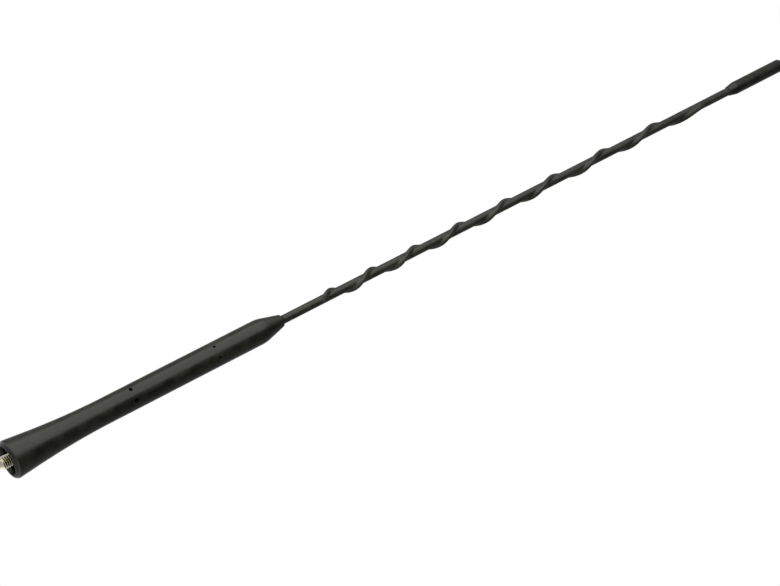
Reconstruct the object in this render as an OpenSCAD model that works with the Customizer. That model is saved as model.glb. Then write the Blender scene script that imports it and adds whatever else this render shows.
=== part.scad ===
// Screw-in car mast aerial: a moulded grip, an M5 mounting stud and a jacketed whip
// with a spiral wind-noise ridge. The mast stands along +Z. The origin is on the
// axis, in the plane of the rim that meets the aerial base, and -Y is the front.

/* [Mast] */
// Height of the mast from the rim to the tip
mast_l = 400; // [380:5:440]

/* [Grip] */
// Height of the moulded grip
grip_l = 123.4; // [116:0.2:132]
// Diameter of the grip above its flare
neck_d = 10.05; // [9:0.05:11]
// Diameter of the rim where the flare meets the aerial base
rim_d = 15.6; // [14.4:0.1:18]
// Height at which the flare runs out into the neck
flare_l = 43; // [34:1:48]
// Height of the straight skirt below the curved flare
skirt_l = 10; // [6:1:14]
// Radius that rounds the outer edge of the rim
rim_round = 1.6; // [0.6:0.1:1.8]
// Width of the rim's flat land between that radius and the mouth of the recess
rim_land = 0.25; // [0.2:0.05:0.5]
// Height of the conical nose
nose_l = 10; // [8:0.2:14]
// Diameter of the nose at its small end
nose_d = 4.9; // [4.2:0.1:5.4]
// Radius that blends the neck into the nose
shoulder_round = 15; // [6:1:18]
// Radius of the nose's small edge
nose_round = 0.8; // [0.3:0.1:0.8]
// Diameter of the recess round the stud
recess_d = 10.8; // [10.4:0.1:11]
// Depth of the recess
recess_h = 4.5; // [3:0.5:6]
// Height of the chamfer that widens the recess to its mouth
recess_chamfer = 1.6; // [0.6:0.1:2.2]
// Radius of the recess's floor edge
recess_floor_r = 0.4; // [0.2:0.1:0.8]

/* [Locating pin holes] */
// Height of the lower holes, left by the pins that centre the insert in the mould
low_hole_z = 53.4; // [50.6:0.2:60]
// Diameter of the lower holes
low_hole_d = 1.5; // [1:0.1:2]
// Height of the upper holes
high_hole_z = 91.3; // [70:0.1:100]
// Diameter of the upper holes
high_hole_d = 1.1; // [0.8:0.1:2]
// Angle of each hole from the middle of its mould half
hole_angle = 28; // [20:1:45]

/* [Mounting stud] */
// Nominal diameter of the stud's thread
stud_d = 5; // [4:0.5:6]
// Length of the stud that stands out past the rim
stud_out = 3.6; // [3:0.1:12]
// Length of the chamfer at the stud's tip
stud_chamfer = 1.4; // [0.6:0.1:1.6]
// Diameter of the stud's flat tip
stud_tip_d = 2.6; // [2:0.1:3]
// Length of the stud screwed into the ferrule
stud_hold = 9; // [7:0.5:10]
// Depth of the undercut between the two threads, and of the chamfer in the ferrule
relief_depth = 0.45; // [0.3:0.05:0.6]
// Height of the undercut
relief_h = 1; // [0.8:0.1:1.4]

/* [Ferrule] */
// Width across the flats of the ferrule's hexagon
hex_af = 8; // [7.4:0.1:8.4]
// Height of the hexagon
hex_l = 8; // [6:0.5:10]
// Diameter of the grooved barrel
barrel_d = 6.8; // [6.6:0.1:7.4]
// Height of the grooved barrel
barrel_l = 21; // [20:1:22]
// Number of retention grooves
groove_count = 3; // [1:1:4]
// Depth of a retention groove
groove_depth = 0.5; // [0.2:0.05:0.6]
// Width of a retention groove
groove_w = 2; // [1:0.1:2.4]
// Diameter of the crimp neck
crimp_d = 5.2; // [4.6:0.1:6]
// Height of the crimp neck
crimp_l = 12; // [10:0.5:12.5]
// Width across the flats left by the crimping tool
crimp_af = 4.8; // [4.4:0.1:5]
// Height of the crimped flats
crimp_flat_l = 5; // [3:0.5:8]
// Clear depth of the drilled hole past the end of the stud
drill_past = 1.5; // [0.5:0.5:2]
// Point angle of the drill
drill_angle = 118; // [90:1:140]
// Depth of the socket that holds the core rod
rod_socket_l = 20; // [12:1:22]

/* [Core rod and winding] */
// Diameter of the glass-fibre core rod
rod_d = 1.8; // [1.4:0.1:1.9]
// Radial gap filled by adhesive round the rod's ends
rod_gap = 0.05; // [0.02:0.01:0.08]
// Diameter of the winding wire
wire_d = 0.3; // [0.2:0.02:0.3]
// Varnish gap under the wire
wire_gap = 0.1; // [0.1:0.02:0.14]
// Number of turns of wire
wire_turns = 60; // [30:1:64]
// Height of the solder fillet on the ferrule
solder_h = 1.5; // [1:0.1:2]
// Width of the ferrule's end left bare round the solder
solder_margin = 0.2; // [0.1:0.05:0.4]

/* [Sleeve] */
// Outer diameter of the plain sleeve
sleeve_d = 3.5; // [3.2:0.1:3.8]
// Clear gap round the winding
sleeve_gap = 0.03; // [0.02:0.01:0.06]
// Height of the ridge above the sleeve
ridge_h = 1.1; // [0.6:0.05:1.3]
// Width of the ridge's flank on the rim side, as an angle round the sleeve
ridge_slope_angle = 60; // [45:1:75]
// Width of the ridge's flank on the tip side
ridge_back_angle = 47; // [31:1:56]
// Plain length of the sleeve between the grip and the ridge
plain_foot_l = 18.6; // [12:0.2:30]
// Plain length of the sleeve between the ridge and the tip cap
plain_top_l = 14.2; // [8:0.2:30]
// Length over which the ridge rises at its start
ridge_rise = 2; // [1:0.2:6]
// Length over which the ridge straightens and sinks at its end
ridge_runout = 20; // [10:1:30]
// Pitch of the ridge's first turn
first_pitch = 19.15; // [14:0.05:24]
// Growth of the pitch from each turn to the next
pitch_gain = 1.5; // [0.4:0.1:2.4]
// Direction in which the ridge begins, measured from +X
ridge_heading = 297; // [0:1:360]

/* [Tip cap] */
// Diameter of the tip cap
cap_d = 5.65; // [5:0.05:7]
// Length of the tip cap
cap_l = 33.2; // [30:0.2:40]
// Length of the cone at the cap's lower end
cap_cone_l = 4; // [3:0.2:8]
// Wall of the cap at its mouth
cap_lip = 0.25; // [0.2:0.05:0.5]
// Radius of the cap's edge at its mouth
cap_lip_r = 0.1; // [0.05:0.05:0.2]
// Radius that blends the cone into the cap's straight length
cap_blend_r = 2; // [1:0.5:6]
// Radius of the cap's upper edge
cap_round = 2; // [0.6:0.1:2.4]
// Depth of the blind socket in the cap
cap_socket_l = 24; // [18:1:27]
// Radial gap between the cap and the sleeve
cap_gap = 0.05; // [0.02:0.01:0.1]

/* [Hidden] */

// Numbers of faces for the true round forms, the sleeve and the wire
round_fn = 96;
bore_fn = 48;
flare_steps = 14;
ring_points = 24;
rings_per_turn = 18;
runout_rings = 12;
wire_steps = 8;
wire_sides = 4;
// How far a cut runs past the face it opens
past = 1;

hex_top = recess_h + hex_l;
barrel_top = hex_top + barrel_l;
ferrule_top = barrel_top + crimp_l;
sleeve_foot = ferrule_top + solder_h;
cap_foot = mast_l - cap_l;
whip_top = cap_foot + cap_socket_l;
ridge_start = grip_l + plain_foot_l;
ridge_end = cap_foot - plain_top_l;
socket_d = sleeve_d + 2 * cap_gap;
coil_r = rod_d / 2 + wire_gap + wire_d / 2;
bore_r = coil_r + wire_d / 2 + sleeve_gap;
neck_r = neck_d / 2;
flare_slope = (rim_d - neck_d) / (flare_l + skirt_l);

// Unit vector along v
function unit(v) = v / norm(v);

// Arc of radius b[2] that rounds the corner b between the points a and c
function corner(a, b, c, steps = 6) =
    b[2] == 0 ? [[b[0], b[1]]] :
    let (
        p = [b[0], b[1]],
        u = unit([a[0], a[1]] - p),
        v = unit([c[0], c[1]] - p),
        half = acos(u * v) / 2,
        start = p + u * b[2] / tan(half),
        centre = p + unit(u + v) * b[2] / sin(half),
        from = atan2(start[1] - centre[1], start[0] - centre[0]),
        turn = u[0] * v[1] - u[1] * v[0] > 0 ? -1 : 1
    )
    [for (i = [0 : steps])
        let (t = from + turn * (180 - 2 * half) * i / steps)
        centre + b[2] * [cos(t), sin(t)]];

// Closed outline from corners given as [radius, height, rounding]
function outline(points) =
    let (n = len(points))
    [for (i = [0 : n - 1])
        each corner(points[(i + n - 1) % n], points[i], points[(i + 1) % n])];

// Radius of the grip at height z: a straight skirt, then an arc that meets the neck
function flare_r(z) =
    z < skirt_l
        ? neck_r + flare_slope * ((flare_l - skirt_l) / 2 + skirt_l - z)
        : neck_r + flare_slope * pow(flare_l - z, 2) / (2 * (flare_l - skirt_l));

// Radius at which the rim's land meets the rounding of its outer edge
function land_r() = flare_r(0) - rim_round / tan(45 - atan(flare_slope) / 2);

// A hexagonal or round length of the ferrule between two heights
module length_between(low, high, d, sides = bore_fn) {
    translate([0, 0, low])
        cylinder(d = d, h = high - low, $fn = sides);
}

// The ferrule's outside, which the grip is moulded round, with a longer foot if asked
module ferrule_outside(foot = 0) {
    groove_pitch = barrel_l / (groove_count + 1);
    flat_low = barrel_top + (crimp_l - crimp_flat_l) / 2;
    flat_high = flat_low + crimp_flat_l;
    length_between(recess_h - foot, hex_top, hex_af / cos(30), 6);
    difference() {
        length_between(hex_top, barrel_top, barrel_d);
        for (i = [1 : groove_count])
            translate([0, 0, hex_top + i * groove_pitch - groove_w / 2])
                difference() {
                    cylinder(d = barrel_d + past, h = groove_w, $fn = bore_fn);
                    cylinder(d = barrel_d - 2 * groove_depth, h = groove_w, $fn = bore_fn);
                }
    }
    length_between(barrel_top, flat_low, crimp_d);
    intersection() {
        length_between(flat_low, flat_high, crimp_d);
        length_between(flat_low, flat_high, crimp_af / cos(30), 6);
    }
    length_between(flat_high, ferrule_top, crimp_d);
}

// The solder fillet's outside, from the crimp neck up to the sleeve
module solder_outside() {
    translate([0, 0, ferrule_top])
        cylinder(d1 = crimp_d - 2 * solder_margin, d2 = sleeve_d, h = solder_h, $fn = bore_fn);
}

// Two holes in the front mould half and their mirror images in the back one
module locating_holes(z, d) {
    for (heading = [-90, 90])
        for (side = [-1, 1])
            translate([0, 0, z])
                rotate([0, 90, heading + side * hole_angle])
                    cylinder(d = d, h = neck_r + past, $fn = bore_fn);
}

// Moulded grip with a flared rim, a recess for the stud and a conical nose
module grip() {
    nose_foot = grip_l - nose_l;
    recess_r = recess_d / 2;
    color("#2b2b28")
    difference() {
        rotate_extrude($fn = round_fn)
            polygon(outline(concat(
                [[0, recess_h, 0],
                 [recess_r, recess_h, recess_floor_r],
                 [recess_r, recess_chamfer, 0],
                 [land_r() - rim_land, 0, 0],
                 [flare_r(0), 0, rim_round]],
                [for (i = [0 : flare_steps])
                    let (z = skirt_l + (flare_l - skirt_l) * i / flare_steps)
                    [flare_r(z), z, 0]],
                [[neck_r, nose_foot, shoulder_round],
                 [nose_d / 2, grip_l, nose_round],
                 [0, grip_l, 0]]
            )));
        ferrule_outside(past);
        solder_outside();
        length_between(sleeve_foot, grip_l + past, sleeve_d);
        locating_holes(low_hole_z, low_hole_d);
        locating_holes(high_hole_z, high_hole_d);
    }
}

// Double-ended stud; the undercut parts the free thread from the one in the ferrule
module mounting_stud() {
    r = stud_d / 2;
    color("#d8d6c8")
    rotate_extrude($fn = round_fn)
        polygon([
            [0, -stud_out],
            [stud_tip_d / 2, -stud_out],
            [r, stud_chamfer - stud_out],
            [r, recess_h - relief_h],
            [r - relief_depth, recess_h - relief_h],
            [r - relief_depth, recess_h],
            [r, recess_h],
            [r, recess_h + stud_hold - relief_depth],
            [r - relief_depth, recess_h + stud_hold],
            [0, recess_h + stud_hold]
        ]);
}

// Turned ferrule: tapped foot, grooved barrel and a crimped socket for the rod
module ferrule() {
    drill_top = recess_h + stud_hold + drill_past;
    color("#b8a76a")
    difference() {
        ferrule_outside();
        length_between(recess_h - past, drill_top, stud_d);
        translate([0, 0, drill_top])
            cylinder(d1 = stud_d, d2 = 0, h = stud_d / 2 / tan(drill_angle / 2), $fn = bore_fn);
        length_between(ferrule_top - rod_socket_l, ferrule_top + past, rod_d + 2 * rod_gap);
    }
}

// Solder fillet that joins the wire's end to the ferrule
module solder_joint() {
    color("#c9c9c6")
    difference() {
        solder_outside();
        length_between(ferrule_top - past, sleeve_foot + past, rod_d + 2 * rod_gap);
    }
}

// Glass-fibre rod from the ferrule's socket to the floor of the cap's socket
module core_rod() {
    color("#e4dcb4")
        length_between(ferrule_top - rod_socket_l, whip_top, rod_d);
}

// Wire wound round the rod from the solder to just below the sleeve's end
module winding() {
    low = sleeve_foot + wire_d / 2;
    high = whip_top - wire_d;
    last = wire_turns * wire_steps;
    color("#b46a32")
    polyhedron(
        points = [for (i = [0 : last])
            let (heading = -360 * i / wire_steps, z = low + (high - low) * i / last)
            for (k = [0 : wire_sides - 1])
                let (t = 360 * k / wire_sides, r = coil_r + wire_d / 2 * cos(t))
                [r * cos(heading), r * sin(heading), z + wire_d / 2 * sin(t)]],
        faces = tube_faces(last + 1, wire_sides)
    );
}

// Faces of a tube of rings with flat ends, each ring listed in the same order
function tube_faces(rings, sides) = concat(
    [[for (k = [0 : sides - 1]) k]],
    [for (i = [0 : rings - 2]) for (k = [0 : sides - 1]) each
        let (a = i * sides + k, b = i * sides + (k + 1) % sides)
        [[a, a + sides, b + sides], [a, b + sides, b]]],
    [[for (k = [sides - 1 : -1 : 0]) (rings - 1) * sides + k]]
);

// Height of the ridge after a number of turns, and the turns made up to a height
function ridge_z(turns) = ridge_start + first_pitch * turns + pitch_gain * turns * turns / 2;
function ridge_turns(z) =
    (sqrt(pow(first_pitch, 2) + 2 * pitch_gain * (z - ridge_start)) - first_pitch) / pitch_gain;

// Eased step from 0 to 1
function eased(t) = t <= 0 ? 0 : t >= 1 ? 1 : t * t * (3 - 2 * t);

// Share of the ridge's height at an angle from its crest, with a steeper tip side
function ridge_form(angle) =
    let (t = angle > 0 ? angle / ridge_back_angle : -angle / ridge_slope_angle)
    t >= 1 ? 0 : pow(1 - t * t, 2);

// Rings of the ridged length as [height, heading of the crest, ridge height]
function ridge_rings() =
    let (
        runout_foot = ridge_end - ridge_runout,
        full_turns = ridge_turns(runout_foot),
        full_rings = ceil(full_turns * rings_per_turn),
        last_pitch = first_pitch + pitch_gain * full_turns
    )
    concat(
        [for (i = [0 : full_rings])
            let (turns = full_turns * i / full_rings, z = ridge_z(turns))
            [z, ridge_heading - 360 * turns,
             ridge_h * eased((z - ridge_start) / ridge_rise)]],
        [for (i = [1 : runout_rings])
            let (
                u = i / runout_rings,
                turns = full_turns + ridge_runout / last_pitch * (u - u * u / 2)
            )
            [runout_foot + ridge_runout * u, ridge_heading - 360 * turns,
             ridge_h * (1 - pow(u, 4))]]
    );

// Whole number of ring points nearest to a heading
function whole_points(heading) = round(heading * ring_points / 360);

// One outer ring of the sleeve, starting at the crest of the ridge
function sleeve_ring(z, heading, height) =
    [for (k = [0 : ring_points - 1])
        let (
            angle = 360 * k / ring_points,
            r = sleeve_d / 2 + height * ridge_form(angle > 180 ? angle - 360 : angle)
        )
        [r * cos(heading + angle), r * sin(heading + angle), z]];

// One ring of the bore, with its flats clear of the winding
function bore_ring(z) =
    [for (k = [0 : ring_points - 1])
        let (angle = 360 * k / ring_points, r = bore_r / cos(180 / ring_points))
        [r * cos(angle), r * sin(angle), z]];

// Moulded sleeve over the winding, with the spiral ridge of growing pitch
module whip_sleeve() {
    n = ring_points;
    ridge = ridge_rings();
    foot_shift = whole_points(ridge[0][1]);
    top_shift = whole_points(ridge[len(ridge) - 1][1]);
    rings = concat(
        [[sleeve_foot, foot_shift * 360 / n, 0]],
        ridge,
        [[whip_top, top_shift * 360 / n, 0]]
    );
    count = len(rings);
    foot_bore = count * n;
    top_bore = foot_bore + n;
    // Point of a bore ring that faces point k of the outer ring with that shift
    function facing(k, shift) = (k + shift + 100 * n) % n;
    color("#2e2e2b")
    polyhedron(
        points = concat(
            [for (ring = rings) each sleeve_ring(ring[0], ring[1], ring[2])],
            bore_ring(sleeve_foot),
            bore_ring(whip_top)
        ),
        faces = concat(
            [for (i = [0 : count - 2]) for (k = [0 : n - 1]) each
                let (a = i * n + k, b = i * n + (k + 1) % n)
                [[a, a + n, b + n], [a, b + n, b]]],
            [for (k = [0 : n - 1]) each
                let (
                    b = (k + 1) % n,
                    inner_a = foot_bore + facing(k, foot_shift),
                    inner_b = foot_bore + facing(k + 1, foot_shift)
                )
                [[k, b, inner_b], [k, inner_b, inner_a]]],
            [for (k = [0 : n - 1]) each
                let (
                    a = (count - 1) * n + k,
                    b = (count - 1) * n + (k + 1) % n,
                    inner_a = top_bore + facing(k, top_shift),
                    inner_b = top_bore + facing(k + 1, top_shift)
                )
                [[a, inner_b, b], [a, inner_a, inner_b]]],
            [for (k = [0 : n - 1]) each
                let (b = (k + 1) % n)
                [[foot_bore + k, top_bore + b, top_bore + k],
                 [foot_bore + k, foot_bore + b, top_bore + b]]]
        )
    );
}

// Moulded cap pushed over the end of the whip, with a blind socket
module tip_cap() {
    color("#30302d")
    rotate_extrude($fn = round_fn)
        polygon(outline([
            [socket_d / 2, cap_foot, 0],
            [socket_d / 2 + cap_lip, cap_foot, cap_lip_r],
            [cap_d / 2, cap_foot + cap_cone_l, cap_blend_r],
            [cap_d / 2, mast_l, cap_round],
            [0, mast_l, 0],
            [0, whip_top, 0],
            [socket_d / 2, whip_top, 0]
        ]));
}

grip();
mounting_stud();
ferrule();
solder_joint();
core_rod();
winding();
whip_sleeve();
tip_cap();
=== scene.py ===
import math

import bpy
from mathutils import Matrix, Vector


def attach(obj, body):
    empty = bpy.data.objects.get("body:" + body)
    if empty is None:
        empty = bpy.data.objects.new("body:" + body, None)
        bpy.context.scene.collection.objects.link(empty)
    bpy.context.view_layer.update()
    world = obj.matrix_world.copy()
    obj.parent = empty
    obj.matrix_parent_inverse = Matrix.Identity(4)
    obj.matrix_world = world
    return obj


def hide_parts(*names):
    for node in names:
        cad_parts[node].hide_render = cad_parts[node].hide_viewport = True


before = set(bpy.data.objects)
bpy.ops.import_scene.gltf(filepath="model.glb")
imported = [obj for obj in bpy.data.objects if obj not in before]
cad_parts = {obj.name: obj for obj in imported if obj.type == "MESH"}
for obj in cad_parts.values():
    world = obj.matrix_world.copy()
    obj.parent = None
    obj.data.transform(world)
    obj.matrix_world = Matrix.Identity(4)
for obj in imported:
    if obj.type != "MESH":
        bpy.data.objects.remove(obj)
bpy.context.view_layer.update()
mm = 0.001
print("frame loaded:", ", ".join(sorted(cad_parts)))


# shared helpers

def linear(hexColour):
    channels = [int(hexColour[i:i + 2], 16) / 255 for i in (1, 3, 5)]
    return [c / 12.92 if c <= 0.04045 else ((c + 0.055) / 1.055) ** 2.4 for c in channels] + [1]


def addNode(tree, kind, links=None, stops=(), **settings):
    # a link is a value, a node (its first output) or one output of a node; a ramp's stop is
    # a place from 0 to 1 with a hex colour or a grey level
    node = tree.nodes.new(kind)
    for name, value in settings.items():
        setattr(node, name, value)
    for socket, value in (links or {}).items():
        if isinstance(value, bpy.types.Node):
            value = value.outputs[0]
        if isinstance(value, bpy.types.NodeSocket):
            tree.links.new(value, node.inputs[socket])
        else:
            node.inputs[socket].default_value = value
    for i, (place, colour) in enumerate(stops):
        if i < 2:
            stop = node.color_ramp.elements[i]
            stop.position = place
        else:
            stop = node.color_ramp.elements.new(place)
        stop.color = linear(colour) if isinstance(colour, str) else (colour,) * 3 + (1,)
    return node


def newMaterial(name):
    material = bpy.data.materials.new(name)
    material.use_nodes = True
    material.node_tree.nodes.clear()
    return material, material.node_tree


def finishShader(tree, shader):
    addNode(tree, "ShaderNodeOutputMaterial", {"Surface": shader})


def newMeshObject(name, mesh):
    item = bpy.data.objects.new(name, mesh)
    bpy.context.scene.collection.objects.link(item)
    return item


# materials

mouldedBlack = {
    "deep": "#171811",
    "mid": "#1f2018",
    "dusty": "#282920",
    "grainMm": 0.35,      # spark-eroded texture of the mould
    "cloudMm": 6.0,       # slow changes in gloss left by handling
    "cloudRange": (0.37, 0.63),
    "roughness": (0.27, 0.38),
    "bump": 0.08,
    "bumpMm": 0.05,
    "sinkMm": 0.05,       # shallow waves where the thick wall has shrunk
    "jointShade": "#0c0c0a",   # painted shade in the joint where the whip enters the nose
    "jointShadeRoughness": 0.9,
}


def makeMouldedPlastic(name, look, jointShade=None):
    # injection-moulded polyamide from a spark-eroded mould: nearly black, with a soft
    # satin sheen that breaks up into a fine grain, and cloudy patches from handling
    # the painted joint shade is given as a direction, the millimetres at which it is absent and
    # those at which it is full
    material, tree = newMaterial(name)
    place = addNode(tree, "ShaderNodeTexCoord").outputs["Object"]
    grain = addNode(tree, "ShaderNodeTexNoise",
                    {"Vector": place, "Scale": 1 / (look["grainMm"] * mm), "Detail": 3.0,
                     "Roughness": 0.6})
    cloud = addNode(tree, "ShaderNodeTexNoise",
                    {"Vector": place, "Scale": 1 / (look["cloudMm"] * mm), "Detail": 4.0,
                     "Roughness": 0.55})
    start, end = look["cloudRange"]
    colour = addNode(tree, "ShaderNodeValToRGB", {"Fac": cloud},
                     stops=[(start, look["deep"]), (end, look["dusty"]), (0.5, look["mid"])])
    low, high = look["roughness"]
    roughness = addNode(tree, "ShaderNodeMapRange",
                        {"Value": cloud, "From Min": start, "From Max": end,
                         "To Min": low, "To Max": high})
    if jointShade:
        direction, clean, dull = jointShade
        if direction == "Z":
            reach = addNode(tree, "ShaderNodeSeparateXYZ", {0: place}).outputs["Z"]
        else:
            flat = addNode(tree, "ShaderNodeVectorMath", {0: place, 1: (1, 1, 0)},
                           operation="MULTIPLY")
            reach = addNode(tree, "ShaderNodeVectorMath", {0: flat},
                            operation="LENGTH").outputs["Value"]
        # painted shade: towards the joint the plastic is coloured darker and made rougher
        jointShadeMask = addNode(tree, "ShaderNodeMapRange",
                       {"Value": reach, "From Min": clean * mm, "From Max": dull * mm,
                        "To Min": 0.0, "To Max": 1.0})
        colour = addNode(tree, "ShaderNodeMix",
                         {0: jointShadeMask, 6: colour, 7: linear(look["jointShade"])},
                         data_type="RGBA").outputs[2]
        roughness = addNode(tree, "ShaderNodeMix",
                            {0: jointShadeMask, 2: roughness, 3: look["jointShadeRoughness"]})
    waves = addNode(tree, "ShaderNodeBump",
                    {"Strength": 0.6, "Distance": look["sinkMm"] * mm, "Height": cloud})
    bump = addNode(tree, "ShaderNodeBump",
                   {"Strength": look["bump"], "Distance": look["bumpMm"] * mm, "Height": grain,
                    "Normal": waves})
    shader = addNode(tree, "ShaderNodeBsdfPrincipled",
                     {"Base Color": colour, "Roughness": roughness, "Normal": bump,
                      "IOR": 1.53})
    finishShader(tree, shader)
    return material


nickelPlate = {
    "bright": "#f6f2e0",
    "dull": "#e8e2cb",
    "root": "#6e6942",      # painted shade in the thread roots
    "rootShadeRadii": (2.1, 2.3),     # millimetres: full painted root shade, then none
    "threadFromMm": -2.3,        # the chamfered point below this has no painted shade
    "threadFadeMm": 0.3,
    "scratchMm": 0.12,
    "roughness": (0.12, 0.2),
}


def makeNickelPlate(look):
    # bright nickel on rolled steel: a warm white mirror, slightly streaked round the thread, with
    # painted shade in the thread roots
    material, tree = newMaterial("bright nickel-plated steel")
    place = addNode(tree, "ShaderNodeTexCoord").outputs["Object"]
    stretched = addNode(tree, "ShaderNodeMapping", {"Vector": place, "Scale": (1, 1, 6)})
    streak = addNode(tree, "ShaderNodeTexNoise",
                     {"Vector": stretched, "Scale": 1 / (look["scratchMm"] * mm * 6),
                      "Detail": 4.0, "Roughness": 0.6})
    clean = addNode(tree, "ShaderNodeValToRGB", {"Fac": streak},
                    stops=[(0.3, look["dull"]), (0.7, look["bright"])])
    flat = addNode(tree, "ShaderNodeVectorMath", {0: place, 1: (1, 1, 0)}, operation="MULTIPLY")
    reach = addNode(tree, "ShaderNodeVectorMath", {0: flat}, operation="LENGTH").outputs["Value"]
    rootRadius, crestRadius = look["rootShadeRadii"]
    deep = addNode(tree, "ShaderNodeMapRange",
                   {"Value": reach, "From Min": rootRadius * mm, "From Max": crestRadius * mm,
                    "To Min": 1.0, "To Max": 0.0})
    height = addNode(tree, "ShaderNodeSeparateXYZ", {0: place}).outputs["Z"]
    start = look["threadFromMm"]
    threaded = addNode(tree, "ShaderNodeMapRange",
                       {"Value": height, "From Min": start * mm,
                        "From Max": (start + look["threadFadeMm"]) * mm,
                        "To Min": 0.0, "To Max": 1.0})
    # painted shade: the thread roots are coloured dark olive, fading out towards the crests
    inRootShade = addNode(tree, "ShaderNodeMath", {0: deep, 1: threaded}, operation="MULTIPLY")
    colour = addNode(tree, "ShaderNodeMix", {0: inRootShade, 6: clean, 7: linear(look["root"])},
                     data_type="RGBA").outputs[2]
    low, high = look["roughness"]
    roughness = addNode(tree, "ShaderNodeMapRange",
                        {"Value": streak, "From Min": 0.3, "From Max": 0.7,
                         "To Min": high, "To Max": low})
    shader = addNode(tree, "ShaderNodeBsdfPrincipled",
                     {"Base Color": colour, "Roughness": roughness, "Metallic": 1.0})
    finishShader(tree, shader)
    return material


innerMetals = {
    "turned brass with nickel flash": {"low": "#9c8a4e", "high": "#c4b27a", "turnMm": 0.3,
                                       "roughness": 0.32, "metallic": 1.0},
    "tin-silver solder": {"low": "#8f8f8c", "high": "#c2c2bf", "turnMm": 0.8,
                          "roughness": 0.28, "metallic": 1.0},
    "enamelled copper wire": {"low": "#7a3a18", "high": "#b4632f", "turnMm": 0.4,
                              "roughness": 0.3, "metallic": 1.0},
    "pultruded glass fibre": {"low": "#b9ad7e", "high": "#e0d8b2", "turnMm": 0.5,
                              "roughness": 0.45, "metallic": 0.0},
}


def makeInner(name):
    # the pieces held inside: turned, drawn or pultruded, so each is streaked one way
    look = innerMetals[name]
    material, tree = newMaterial(name)
    place = addNode(tree, "ShaderNodeTexCoord").outputs["Object"]
    along = (1, 1, 0.1) if look["metallic"] == 0 else (0.2, 0.2, 3)
    stretched = addNode(tree, "ShaderNodeMapping", {"Vector": place, "Scale": along})
    streak = addNode(tree, "ShaderNodeTexNoise",
                     {"Vector": stretched, "Scale": 1 / (look["turnMm"] * mm), "Detail": 4.0,
                      "Roughness": 0.6})
    colour = addNode(tree, "ShaderNodeValToRGB", {"Fac": streak},
                     stops=[(0.3, look["low"]), (0.7, look["high"])])
    bump = addNode(tree, "ShaderNodeBump",
                   {"Strength": 0.15, "Distance": 0.02 * mm, "Height": streak})
    shader = addNode(tree, "ShaderNodeBsdfPrincipled",
                     {"Base Color": colour, "Roughness": look["roughness"],
                      "Metallic": look["metallic"], "Normal": bump})
    finishShader(tree, shader)
    return material


# the grip by radius and the sleeve by height get painted shade where the whip enters the nose
gripPlastic = makeMouldedPlastic("glass-filled polyamide, satin black", mouldedBlack,
                                 ("radius", 2.25, 1.95))
sleevePlastic = makeMouldedPlastic("polyethylene jacket, grey-black", {
    **mouldedBlack, "deep": "#252520", "mid": "#2d2d27", "dusty": "#353530",
    "grainMm": 0.3, "roughness": (0.37, 0.46), "sinkMm": 0.02},
    ("Z", 124.4, 123.6))
capPlastic = makeMouldedPlastic("moulded cap, satin black", {
    **mouldedBlack, "deep": "#161612", "mid": "#1d1d18", "dusty": "#25251f"})
nickel = makeNickelPlate(nickelPlate)
print("materials made")


# ridged sleeve: one grid of points laid by the ridge's rule

sleeve = {
    "radius": 1.75 * mm,
    "boreRadius": 1.33 * mm,
    "foot": 47 * mm,
    "top": 390.8 * mm,
    "ridgeHeight": 1.1 * mm,
    "slopeAngle": math.radians(60),     # flank on the rim side
    "backAngle": math.radians(47),      # steeper flank on the tip side
    "ridgeStart": 142 * mm,
    "ridgeEnd": 352.6 * mm,
    "rise": 2 * mm,
    "runout": 20 * mm,
    "firstPitch": 19.15 * mm,
    "pitchGain": 1.5 * mm,
    "heading": math.radians(297),
    "columns": 96,
    "rows": 880,
    "plainShare": 0.06,                 # rows below the ridge, and again above it
}


def newGeometryTree(name, sizes):
    tree = bpy.data.node_groups.new(name, "GeometryNodeTree")
    tree.interface.new_socket(name="Geometry", in_out="INPUT", socket_type="NodeSocketGeometry")
    tree.interface.new_socket(name="Geometry", in_out="OUTPUT", socket_type="NodeSocketGeometry")
    identifiers = {}
    for key, value in sizes.items():
        kind = "NodeSocketInt" if isinstance(value, int) else "NodeSocketFloat"
        socket = tree.interface.new_socket(name=key, in_out="INPUT", socket_type=kind)
        identifiers[key] = socket.identifier
    entry = tree.nodes.new("NodeGroupInput")
    return tree, entry.outputs, identifiers


def endGeometryTree(tree, geometry, material):
    smooth = addNode(tree, "GeometryNodeSetShadeSmooth", {"Geometry": geometry})
    real = addNode(tree, "GeometryNodeRealizeInstances", {"Geometry": smooth})
    painted = addNode(tree, "GeometryNodeSetMaterial", {"Geometry": real, "Material": material})
    addNode(tree, "NodeGroupOutput", {0: painted})


def growMesh(name, tree, identifiers, sizes):
    # runs the tree on an empty object and keeps its result as a plain mesh
    seed = newMeshObject(name + "_seed", bpy.data.meshes.new(name + "_seed"))
    grow = seed.modifiers.new("grow", "NODES")
    grow.node_group = tree
    for key, value in sizes.items():
        grow[identifiers[key]] = value
    depsgraph = bpy.context.evaluated_depsgraph_get()
    mesh = bpy.data.meshes.new_from_object(seed.evaluated_get(depsgraph), depsgraph=depsgraph)
    mesh.name = name
    bpy.data.objects.remove(seed)
    return newMeshObject(name, mesh)


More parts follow.
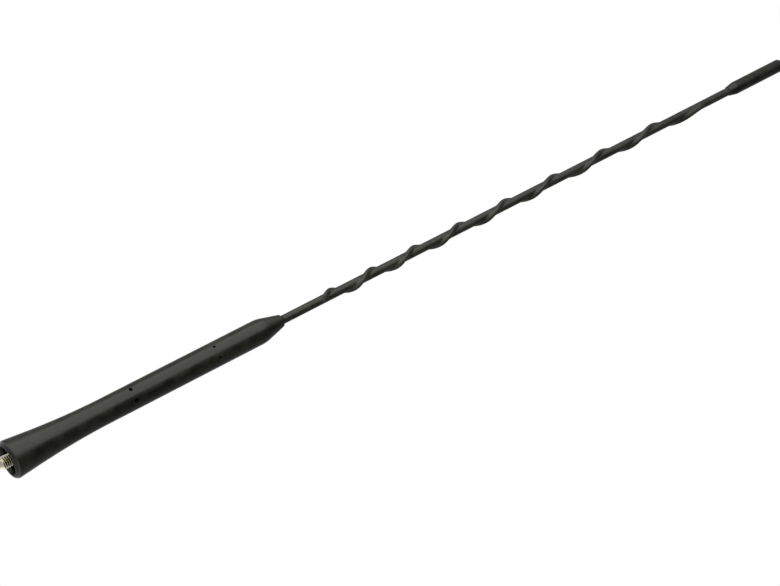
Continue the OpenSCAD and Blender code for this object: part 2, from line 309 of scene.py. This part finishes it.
def buildSleeveTree(sizes, material):
    tree, given, identifiers = newGeometryTree("ridgedSleeve", sizes)
    columns = addNode(tree, "ShaderNodeMath", {0: given["columns"], 1: 1.0}, operation="ADD")
    rows = addNode(tree, "ShaderNodeMath", {0: given["rows"], 1: 1.0}, operation="ADD")
    grid = addNode(tree, "GeometryNodeMeshGrid",
                   {"Size X": 1.0, "Size Y": 1.0, "Vertices X": columns, "Vertices Y": rows})
    place = addNode(tree, "GeometryNodeInputPosition")
    across = addNode(tree, "ShaderNodeSeparateXYZ", {0: place})
    # angle from the crest, from minus half a turn to half a turn
    angle = addNode(tree, "ShaderNodeMath", {0: across.outputs["X"], 1: 2 * math.pi},
                    operation="MULTIPLY")
    # row number: 0 is the bore at the foot, the last two are the bore at the top and the foot
    rowShare = addNode(tree, "ShaderNodeMath", {0: across.outputs["Y"], 1: 0.5}, operation="ADD")
    row = addNode(tree, "ShaderNodeMath", {0: rowShare, 1: given["rows"]}, operation="MULTIPLY")
    outerRows = addNode(tree, "ShaderNodeMath", {0: given["rows"], 1: 3.0}, operation="SUBTRACT")
    outerRow = addNode(tree, "ShaderNodeMath", {0: row, 1: 1.0}, operation="SUBTRACT")
    share = addNode(tree, "ShaderNodeMath", {0: outerRow, 1: outerRows}, operation="DIVIDE",
                    use_clamp=True)
    # height: few rows on the two plain lengths, many on the ridge
    upperShare = addNode(tree, "ShaderNodeMath", {0: 1.0, 1: given["plainShare"]},
                         operation="SUBTRACT")
    plainFoot = addNode(tree, "ShaderNodeMapRange",
                        {"Value": share, "From Min": 0.0, "From Max": given["plainShare"],
                         "To Min": given["foot"], "To Max": given["ridgeStart"]})
    ridgeLength = addNode(tree, "ShaderNodeMath",
                          {0: given["ridgeEnd"], 1: given["ridgeStart"]}, operation="SUBTRACT")
    ridged = addNode(tree, "ShaderNodeMapRange",
                     {"Value": share, "From Min": given["plainShare"], "From Max": upperShare,
                      "To Min": 0.0, "To Max": ridgeLength})
    topLength = addNode(tree, "ShaderNodeMath", {0: given["top"], 1: given["ridgeEnd"]},
                        operation="SUBTRACT")
    plainTop = addNode(tree, "ShaderNodeMapRange",
                       {"Value": share, "From Min": upperShare, "From Max": 1.0,
                        "To Min": 0.0, "To Max": topLength})
    lower = addNode(tree, "ShaderNodeMath", {0: plainFoot, 1: ridged}, operation="ADD")
    climbed = addNode(tree, "ShaderNodeMath", {0: lower, 1: plainTop}, operation="ADD")
    # turns made by the crest, with the pitch growing, then straightening at the run-out
    runoutFoot = addNode(tree, "ShaderNodeMath", {0: given["ridgeEnd"], 1: given["runout"]},
                         operation="SUBTRACT")
    fullLength = addNode(tree, "ShaderNodeMath", {0: runoutFoot, 1: given["ridgeStart"]},
                         operation="SUBTRACT")
    past = addNode(tree, "ShaderNodeMath", {0: climbed, 1: given["ridgeStart"]},
                   operation="SUBTRACT")
    pastFoot = addNode(tree, "ShaderNodeMath", {0: past, 1: 0.0}, operation="MAXIMUM")
    ridgedPart = addNode(tree, "ShaderNodeMath", {0: pastFoot, 1: fullLength},
                         operation="MINIMUM")
    firstSquared = addNode(tree, "ShaderNodeMath", {0: given["firstPitch"], 1: 2.0},
                           operation="POWER")
    doubleGain = addNode(tree, "ShaderNodeMath", {0: given["pitchGain"], 1: 2.0},
                         operation="MULTIPLY")
    grown = addNode(tree, "ShaderNodeMath", {0: doubleGain, 1: ridgedPart, 2: firstSquared},
                    operation="MULTIPLY_ADD")
    pitchHere = addNode(tree, "ShaderNodeMath", {0: grown}, operation="SQRT")
    gained = addNode(tree, "ShaderNodeMath", {0: pitchHere, 1: given["firstPitch"]},
                     operation="SUBTRACT")
    spiralTurns = addNode(tree, "ShaderNodeMath", {0: gained, 1: given["pitchGain"]},
                          operation="DIVIDE")
    grownFull = addNode(tree, "ShaderNodeMath", {0: doubleGain, 1: fullLength, 2: firstSquared},
                        operation="MULTIPLY_ADD")
    lastPitch = addNode(tree, "ShaderNodeMath", {0: grownFull}, operation="SQRT")
    runoutHeight = addNode(tree, "ShaderNodeMath", {0: climbed, 1: runoutFoot},
                           operation="SUBTRACT")
    runoutShare = addNode(tree, "ShaderNodeMath", {0: runoutHeight, 1: given["runout"]},
                          operation="DIVIDE", use_clamp=True)
    shareSquared = addNode(tree, "ShaderNodeMath", {0: runoutShare, 1: runoutShare},
                           operation="MULTIPLY")
    straightened = addNode(tree, "ShaderNodeMath", {0: shareSquared, 1: -0.5, 2: runoutShare},
                           operation="MULTIPLY_ADD")
    runoutTurns = addNode(tree, "ShaderNodeMath", {0: given["runout"], 1: lastPitch},
                          operation="DIVIDE")
    allTurns = addNode(tree, "ShaderNodeMath", {0: runoutTurns, 1: straightened, 2: spiralTurns},
                       operation="MULTIPLY_ADD")
    spiralHeading = addNode(tree, "ShaderNodeMath",
                            {0: allTurns, 1: -2 * math.pi, 2: given["heading"]},
                            operation="MULTIPLY_ADD")
    # the plain lengths turn their points back to whole turns, so that they meet the bore's
    footShare = addNode(tree, "ShaderNodeMapRange",
                        {"Value": climbed, "From Min": given["foot"],
                         "From Max": given["ridgeStart"], "To Min": 1.0, "To Max": 0.0})
    footBack = addNode(tree, "ShaderNodeMath",
                       {0: given["footTwist"], 1: footShare, 2: spiralHeading},
                       operation="MULTIPLY_ADD")
    topShare = addNode(tree, "ShaderNodeMapRange",
                       {"Value": climbed, "From Min": given["ridgeEnd"],
                        "From Max": given["top"], "To Min": 0.0, "To Max": 1.0})
    heading = addNode(tree, "ShaderNodeMath", {0: given["topTwist"], 1: topShare, 2: footBack},
                      operation="MULTIPLY_ADD")
    # height of the ridge along the mast
    riseShare = addNode(tree, "ShaderNodeMath", {0: pastFoot, 1: given["rise"]},
                        operation="DIVIDE", use_clamp=True)
    eased = addNode(tree, "ShaderNodeMapRange",
                    {"Value": riseShare, "From Min": 0.0, "From Max": 1.0,
                     "To Min": 0.0, "To Max": given["ridgeHeight"]},
                    interpolation_type="SMOOTHSTEP")
    shareFourth = addNode(tree, "ShaderNodeMath", {0: shareSquared, 1: shareSquared},
                          operation="MULTIPLY")
    sinking = addNode(tree, "ShaderNodeMath", {0: 1.0, 1: shareFourth}, operation="SUBTRACT")
    ridgeHere = addNode(tree, "ShaderNodeMath", {0: eased, 1: sinking}, operation="MULTIPLY")
    # form of the ridge round the mast
    onBack = addNode(tree, "ShaderNodeMath", {0: angle, 1: given["backAngle"]},
                     operation="DIVIDE")
    backward = addNode(tree, "ShaderNodeMath", {0: 0.0, 1: given["slopeAngle"]},
                       operation="SUBTRACT")
    onSlope = addNode(tree, "ShaderNodeMath", {0: angle, 1: backward}, operation="DIVIDE")
    apart = addNode(tree, "ShaderNodeMath", {0: onBack, 1: onSlope}, operation="MAXIMUM",
                    use_clamp=True)
    apartSquared = addNode(tree, "ShaderNodeMath", {0: apart, 1: apart}, operation="MULTIPLY")
    inside = addNode(tree, "ShaderNodeMath", {0: 1.0, 1: apartSquared}, operation="SUBTRACT")
    form = addNode(tree, "ShaderNodeMath", {0: inside, 1: inside}, operation="MULTIPLY")
    outerRadius = addNode(tree, "ShaderNodeMath", {0: ridgeHere, 1: form, 2: given["radius"]},
                          operation="MULTIPLY_ADD")
    # the first row and the last two lie on the bore
    belowOuter = addNode(tree, "ShaderNodeMath", {0: row, 1: 0.5}, operation="LESS_THAN")
    lastOuter = addNode(tree, "ShaderNodeMath", {0: given["rows"], 1: 1.5}, operation="SUBTRACT")
    aboveOuter = addNode(tree, "ShaderNodeMath", {0: row, 1: lastOuter},
                         operation="GREATER_THAN")
    onBore = addNode(tree, "ShaderNodeMath", {0: belowOuter, 1: aboveOuter}, operation="ADD")
    radius = addNode(tree, "GeometryNodeSwitch",
                     {"Switch": onBore, "False": outerRadius, "True": given["boreRadius"]},
                     input_type="FLOAT")
    closingRow = addNode(tree, "ShaderNodeMath", {0: given["rows"], 1: 0.5}, operation="SUBTRACT")
    closing = addNode(tree, "ShaderNodeMath", {0: row, 1: closingRow}, operation="GREATER_THAN")
    height = addNode(tree, "GeometryNodeSwitch",
                     {"Switch": closing, "False": climbed, "True": given["foot"]},
                     input_type="FLOAT")
    turned = addNode(tree, "ShaderNodeMath", {0: heading, 1: angle}, operation="ADD")
    boreAngle = addNode(tree, "GeometryNodeSwitch",
                        {"Switch": onBore, "False": turned, "True": angle}, input_type="FLOAT")
    cosine = addNode(tree, "ShaderNodeMath", {0: boreAngle}, operation="COSINE")
    sine = addNode(tree, "ShaderNodeMath", {0: boreAngle}, operation="SINE")
    pointX = addNode(tree, "ShaderNodeMath", {0: radius, 1: cosine}, operation="MULTIPLY")
    pointY = addNode(tree, "ShaderNodeMath", {0: radius, 1: sine}, operation="MULTIPLY")
    point = addNode(tree, "ShaderNodeCombineXYZ", {"X": pointX, "Y": pointY, "Z": height})
    laid = addNode(tree, "GeometryNodeSetPosition", {"Geometry": grid, "Position": point})
    closed = addNode(tree, "GeometryNodeMergeByDistance",
                     {"Geometry": laid, "Distance": 0.002 * mm})
    endGeometryTree(tree, closed, material)
    return tree, identifiers


def wholeTurns(angle):
    return round(angle / (2 * math.pi)) * 2 * math.pi


fullRidge = sleeve["ridgeEnd"] - sleeve["runout"] - sleeve["ridgeStart"]
lastPitch = math.sqrt(sleeve["firstPitch"] ** 2 + 2 * sleeve["pitchGain"] * fullRidge)
ridgeTurns = ((lastPitch - sleeve["firstPitch"]) / sleeve["pitchGain"]
              + sleeve["runout"] / lastPitch / 2)
endHeading = sleeve["heading"] - 2 * math.pi * ridgeTurns
sleeve["footTwist"] = wholeTurns(sleeve["heading"]) - sleeve["heading"]
sleeve["topTwist"] = wholeTurns(endHeading) - endHeading

sleeveTree, sleeveInputs = buildSleeveTree(sleeve, sleevePlastic)
whipSleeve = growMesh("ridged_sleeve", sleeveTree, sleeveInputs, sleeve)
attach(whipSleeve, "root")
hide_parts("whip_sleeve")
print("sleeve:", len(whipSleeve.data.polygons), "faces")


# mounting stud: an M5 thread laid on rows that climb with the helix

stud = {
    "radius": 2.5 * mm,
    "pitch": 0.8 * mm,
    "depth": 0.46 * mm,
    "foot": -3.6 * mm,
    "top": 13.5 * mm,
    "tipRadius": 1.3 * mm,
    "tipChamfer": 1.4 * mm,
    "reliefLow": 3.5 * mm,
    "reliefHigh": 4.5 * mm,
    "reliefRadius": 2.05 * mm,
    "columns": 72,
    "rowsPerPitch": 20,
}


def buildStudTree(sizes, material):
    tree, given, identifiers = newGeometryTree("threadedStud", sizes)
    columns = addNode(tree, "ShaderNodeMath", {0: given["columns"], 1: 1.0}, operation="ADD")
    rowPitches = addNode(tree, "ShaderNodeMath",
                         {0: given["rowsPerPitch"], 1: given["pitches"]}, operation="MULTIPLY")
    rows = addNode(tree, "ShaderNodeMath", {0: rowPitches, 1: 1.0}, operation="ADD")
    grid = addNode(tree, "GeometryNodeMeshGrid",
                   {"Size X": 1.0, "Size Y": 1.0, "Vertices X": columns, "Vertices Y": rows})
    place = addNode(tree, "GeometryNodeInputPosition")
    across = addNode(tree, "ShaderNodeSeparateXYZ", {0: place})
    turnShare = addNode(tree, "ShaderNodeMath", {0: across.outputs["X"], 1: 0.5}, operation="ADD")
    rowShare = addNode(tree, "ShaderNodeMath", {0: across.outputs["Y"], 1: 0.5}, operation="ADD")
    # pitches climbed: a row starts one pitch below the foot and rises one pitch as it turns
    rowClimb = addNode(tree, "ShaderNodeMath", {0: rowShare, 1: given["pitches"], 2: -1.0},
                       operation="MULTIPLY_ADD")
    climb = addNode(tree, "ShaderNodeMath", {0: rowClimb, 1: turnShare}, operation="ADD")
    free = addNode(tree, "ShaderNodeMath", {0: climb, 1: given["pitch"], 2: given["foot"]},
                   operation="MULTIPLY_ADD")
    aboveFoot = addNode(tree, "ShaderNodeMath", {0: free, 1: given["foot"]}, operation="MAXIMUM")
    height = addNode(tree, "ShaderNodeMath", {0: aboveFoot, 1: given["top"]},
                     operation="MINIMUM")
    # thread form: flat crest an eighth of the pitch wide, straight flanks, rounded root
    phase = addNode(tree, "ShaderNodeMath", {0: rowClimb}, operation="FRACT")
    fromCrest = addNode(tree, "ShaderNodeMath", {0: phase, 1: 0.5}, operation="SUBTRACT")
    crestAway = addNode(tree, "ShaderNodeMath", {0: fromCrest}, operation="ABSOLUTE")
    cut = addNode(tree, "ShaderNodeMapRange",
                  {"Value": crestAway, "From Min": 1 / 16, "From Max": 0.4, "To Min": 0.0,
                   "To Max": given["depth"]})
    threadRadius = addNode(tree, "ShaderNodeMath", {0: given["radius"], 1: cut},
                           operation="SUBTRACT")
    # tip cone, undercut and end chamfer all cut the thread down
    fromFoot = addNode(tree, "ShaderNodeMath", {0: height, 1: given["foot"]},
                       operation="SUBTRACT")
    footShare = addNode(tree, "ShaderNodeMath", {0: fromFoot, 1: given["tipChamfer"]},
                        operation="DIVIDE", use_clamp=True)
    tipDrop = addNode(tree, "ShaderNodeMath", {0: given["radius"], 1: given["tipRadius"]},
                      operation="SUBTRACT")
    tipRadius = addNode(tree, "ShaderNodeMath", {0: footShare, 1: tipDrop, 2: given["tipRadius"]},
                        operation="MULTIPLY_ADD")
    belowTop = addNode(tree, "ShaderNodeMath", {0: given["top"], 1: height},
                       operation="SUBTRACT")
    endRadius = addNode(tree, "ShaderNodeMath", {0: belowTop, 1: given["reliefRadius"]},
                        operation="ADD")
    tipped = addNode(tree, "ShaderNodeMath", {0: threadRadius, 1: tipRadius},
                     operation="MINIMUM")
    ended = addNode(tree, "ShaderNodeMath", {0: tipped, 1: endRadius}, operation="MINIMUM")
    aboveRelief = addNode(tree, "ShaderNodeMath", {0: height, 1: given["reliefLow"]},
                          operation="GREATER_THAN")
    belowRelief = addNode(tree, "ShaderNodeMath", {0: height, 1: given["reliefHigh"]},
                          operation="LESS_THAN")
    inRelief = addNode(tree, "ShaderNodeMath", {0: aboveRelief, 1: belowRelief},
                       operation="MULTIPLY")
    relieved = addNode(tree, "ShaderNodeMath", {0: ended, 1: given["reliefRadius"]},
                       operation="MINIMUM")
    wall = addNode(tree, "GeometryNodeSwitch",
                   {"Switch": inRelief, "False": ended, "True": relieved}, input_type="FLOAT")
    # the first and last rows draw in to the axis and close the two ends
    afterFirst = addNode(tree, "ShaderNodeMath", {0: rowShare, 1: 0.0001},
                         operation="GREATER_THAN")
    beforeLast = addNode(tree, "ShaderNodeMath", {0: rowShare, 1: 0.9999},
                         operation="LESS_THAN")
    between = addNode(tree, "ShaderNodeMath", {0: afterFirst, 1: beforeLast}, operation="MULTIPLY")
    radius = addNode(tree, "ShaderNodeMath", {0: wall, 1: between}, operation="MULTIPLY")
    angle = addNode(tree, "ShaderNodeMath", {0: turnShare, 1: 2 * math.pi}, operation="MULTIPLY")
    cosine = addNode(tree, "ShaderNodeMath", {0: angle}, operation="COSINE")
    sine = addNode(tree, "ShaderNodeMath", {0: angle}, operation="SINE")
    pointX = addNode(tree, "ShaderNodeMath", {0: radius, 1: cosine}, operation="MULTIPLY")
    pointY = addNode(tree, "ShaderNodeMath", {0: radius, 1: sine}, operation="MULTIPLY")
    point = addNode(tree, "ShaderNodeCombineXYZ", {"X": pointX, "Y": pointY, "Z": height})
    laid = addNode(tree, "GeometryNodeSetPosition", {"Geometry": grid, "Position": point})
    closed = addNode(tree, "GeometryNodeMergeByDistance",
                     {"Geometry": laid, "Distance": 0.001 * mm})
    endGeometryTree(tree, closed, material)
    return tree, identifiers


stud["pitches"] = math.ceil((stud["top"] - stud["foot"]) / stud["pitch"]) + 2
studTree, studInputs = buildStudTree(stud, nickel)
mountingStud = growMesh("threaded_stud", studTree, studInputs, stud)
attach(mountingStud, "root")
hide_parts("mounting_stud")
print("stud:", len(mountingStud.data.polygons), "faces")


# CAD nodes that keep their own shape

cadFinishes = {
    "grip": gripPlastic,
    "tip_cap": capPlastic,
    "ferrule": makeInner("turned brass with nickel flash"),
    "solder_joint": makeInner("tin-silver solder"),
    "core_rod": makeInner("pultruded glass fibre"),
    "winding": makeInner("enamelled copper wire"),
}
for nodeName, finish in cadFinishes.items():
    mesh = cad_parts[nodeName].data
    if not mesh.materials:
        mesh.materials.append(finish)
    for i in range(len(mesh.materials)):
        mesh.materials[i] = finish
print("CAD nodes painted")


# floor, light and camera

studio = {
    "floorHeight": -0.5,
    "floorSize": 12.0,
    "floorColour": "#f2f2f0",
    "floorLift": 0.68,              # from the lit floor up to the white of the room
    "floorWhiteFrom": (0.35, 0.7),  # distance to the side at which mirrors see that white
    # light of the room by heading from +X in degrees: grey walls and one unlit end
    "walls": [(-180, 0.34), (-95, 0.3), (-72, 0.05), (-40, 0.05), (-12, 0.13), (15, 0.25),
              (60, 0.3), (80, 0.9), (112, 0.9), (132, 0.3), (179, 0.34)],
    # the white backdrop stands behind the mast, as seen from the camera
    "backdropHeading": 96,
    "backdropHalfWidth": (16, 34),
    "lampPlace": (-0.257, -0.306, 0.25),
    "lampSize": (0.8, 0.7),
    "lampPower": 2.06,
    "lampColour": (1.0, 0.99, 0.94),
}


def buildWorld(look):
    world = bpy.data.worlds.new("grey room with a white backdrop")
    bpy.context.scene.world = world
    world.use_nodes = True
    tree = world.node_tree
    tree.nodes.clear()
    towards = addNode(tree, "ShaderNodeTexCoord").outputs["Generated"]
    part = addNode(tree, "ShaderNodeSeparateXYZ", {0: towards}).outputs
    heading = addNode(tree, "ShaderNodeMath", {0: part["Y"], 1: part["X"]}, operation="ARCTAN2")
    turnShare = addNode(tree, "ShaderNodeMath", {0: heading, 1: 0.5 / math.pi, 2: 0.5},
                        operation="MULTIPLY_ADD")
    walls = addNode(tree, "ShaderNodeValToRGB", {"Fac": turnShare},
                    stops=[(degrees / 360 + 0.5, level) for degrees, level in look["walls"]])
    aside = addNode(tree, "ShaderNodeMath",
                    {0: heading, 1: math.radians(look["backdropHeading"])}, operation="SUBTRACT")
    away = addNode(tree, "ShaderNodeMath", {0: aside}, operation="ABSOLUTE")
    white, grey = look["backdropHalfWidth"]
    behind = addNode(tree, "ShaderNodeMapRange",
                     {"Value": away, "From Min": math.radians(white),
                      "From Max": math.radians(grey), "To Min": 1.0, "To Max": 0.0},
                     interpolation_type="SMOOTHSTEP")
    # the camera sees only white, and shiny surfaces see the same white behind the mast
    path = addNode(tree, "ShaderNodeLightPath").outputs
    mirrored = addNode(tree, "ShaderNodeMath",
                       {0: path["Is Glossy Ray"], 1: path["Is Transmission Ray"]},
                       operation="MAXIMUM")
    backdrop = addNode(tree, "ShaderNodeMath", {0: mirrored, 1: behind}, operation="MULTIPLY")
    shown = addNode(tree, "ShaderNodeMath", {0: backdrop, 1: path["Is Camera Ray"]},
                    operation="MAXIMUM")
    level = addNode(tree, "ShaderNodeMath", {0: walls, 1: shown}, operation="MAXIMUM")
    background = addNode(tree, "ShaderNodeBackground",
                         {"Color": (1, 1, 1, 1), "Strength": level})
    addNode(tree, "ShaderNodeOutputWorld", {"Surface": background})


def buildFloor(look):
    half = look["floorSize"] / 2
    corners = [(x * half, y * half, look["floorHeight"])
               for x, y in ((-1, -1), (1, -1), (1, 1), (-1, 1))]
    mesh = bpy.data.meshes.new("studio_floor")
    mesh.from_pydata(corners, [], [(0, 1, 2, 3)])
    material, tree = newMaterial("pale painted floor")
    paint = addNode(tree, "ShaderNodeBsdfPrincipled",
                    {"Base Color": linear(look["floorColour"]), "Roughness": 0.7})
    # the camera sees a white floor that keeps the mast's shadow, and shiny surfaces see the
    # same white far out on both sides, so that the rim doesn't mirror it as a bright ring
    path = addNode(tree, "ShaderNodeLightPath").outputs
    mirrored = addNode(tree, "ShaderNodeMath",
                       {0: path["Is Glossy Ray"], 1: path["Is Transmission Ray"]},
                       operation="MAXIMUM")
    spot = addNode(tree, "ShaderNodeTexCoord").outputs["Object"]
    spotPart = addNode(tree, "ShaderNodeSeparateXYZ", {0: spot}).outputs
    sideways = addNode(tree, "ShaderNodeMath", {0: spotPart["X"]}, operation="ABSOLUTE")
    grey, white = look["floorWhiteFrom"]
    aside = addNode(tree, "ShaderNodeMapRange",
                    {"Value": sideways, "From Min": grey, "From Max": white,
                     "To Min": 0.0, "To Max": 1.0},
                    interpolation_type="SMOOTHSTEP")
    reflected = addNode(tree, "ShaderNodeMath", {0: mirrored, 1: aside}, operation="MULTIPLY")
    looked = addNode(tree, "ShaderNodeMath", {0: reflected, 1: path["Is Camera Ray"]},
                     operation="MAXIMUM")
    lift = addNode(tree, "ShaderNodeMath", {0: looked, 1: look["floorLift"]},
                   operation="MULTIPLY")
    glow = addNode(tree, "ShaderNodeEmission", {"Color": (1, 1, 1, 1), "Strength": lift})
    shader = addNode(tree, "ShaderNodeAddShader", {0: paint, 1: glow})
    finishShader(tree, shader)
    mesh.materials.append(material)
    newMeshObject("studio_floor", mesh)


def addSoftbox(look):
    # a vertical panel that faces the mast
    lamp = bpy.data.lights.new("key softbox", "AREA")
    lamp.shape = "RECTANGLE"
    lamp.size, lamp.size_y = look["lampSize"]
    lamp.energy = look["lampPower"]
    lamp.color = look["lampColour"]
    place = look["lampPlace"]
    item = bpy.data.objects.new("key softbox", lamp)
    bpy.context.scene.collection.objects.link(item)
    item.location = place
    item.rotation_mode = "QUATERNION"
    item.rotation_quaternion = Vector((-place[0], -place[1], 0)).to_track_quat("-Z", "Y")
    item.visible_camera = False


def addCamera():
    camera = bpy.data.cameras.new("view from below the rim")
    camera.sensor_fit = "HORIZONTAL"
    camera.sensor_width = 36.0
    camera.lens = 101.54
    camera.clip_start, camera.clip_end = 0.01, 50
    item = bpy.data.objects.new("camera", camera)
    bpy.context.scene.collection.objects.link(item)
    right = Vector((0.497742, -0.368261, 0.785262))
    up = Vector((-0.863481, -0.295553, 0.408717))
    forward = Vector((-0.081572, 0.881495, 0.465095))
    turn = Matrix((right, up, -forward)).transposed().to_4x4()
    item.matrix_world = Matrix.Translation(Vector((0.081695, -0.773834, -0.237544))) @ turn
    bpy.context.scene.camera = item


buildWorld(studio)
buildFloor(studio)
addSoftbox(studio)
addCamera()
bpy.context.scene.view_settings.view_transform = "Standard"
print("studio set")
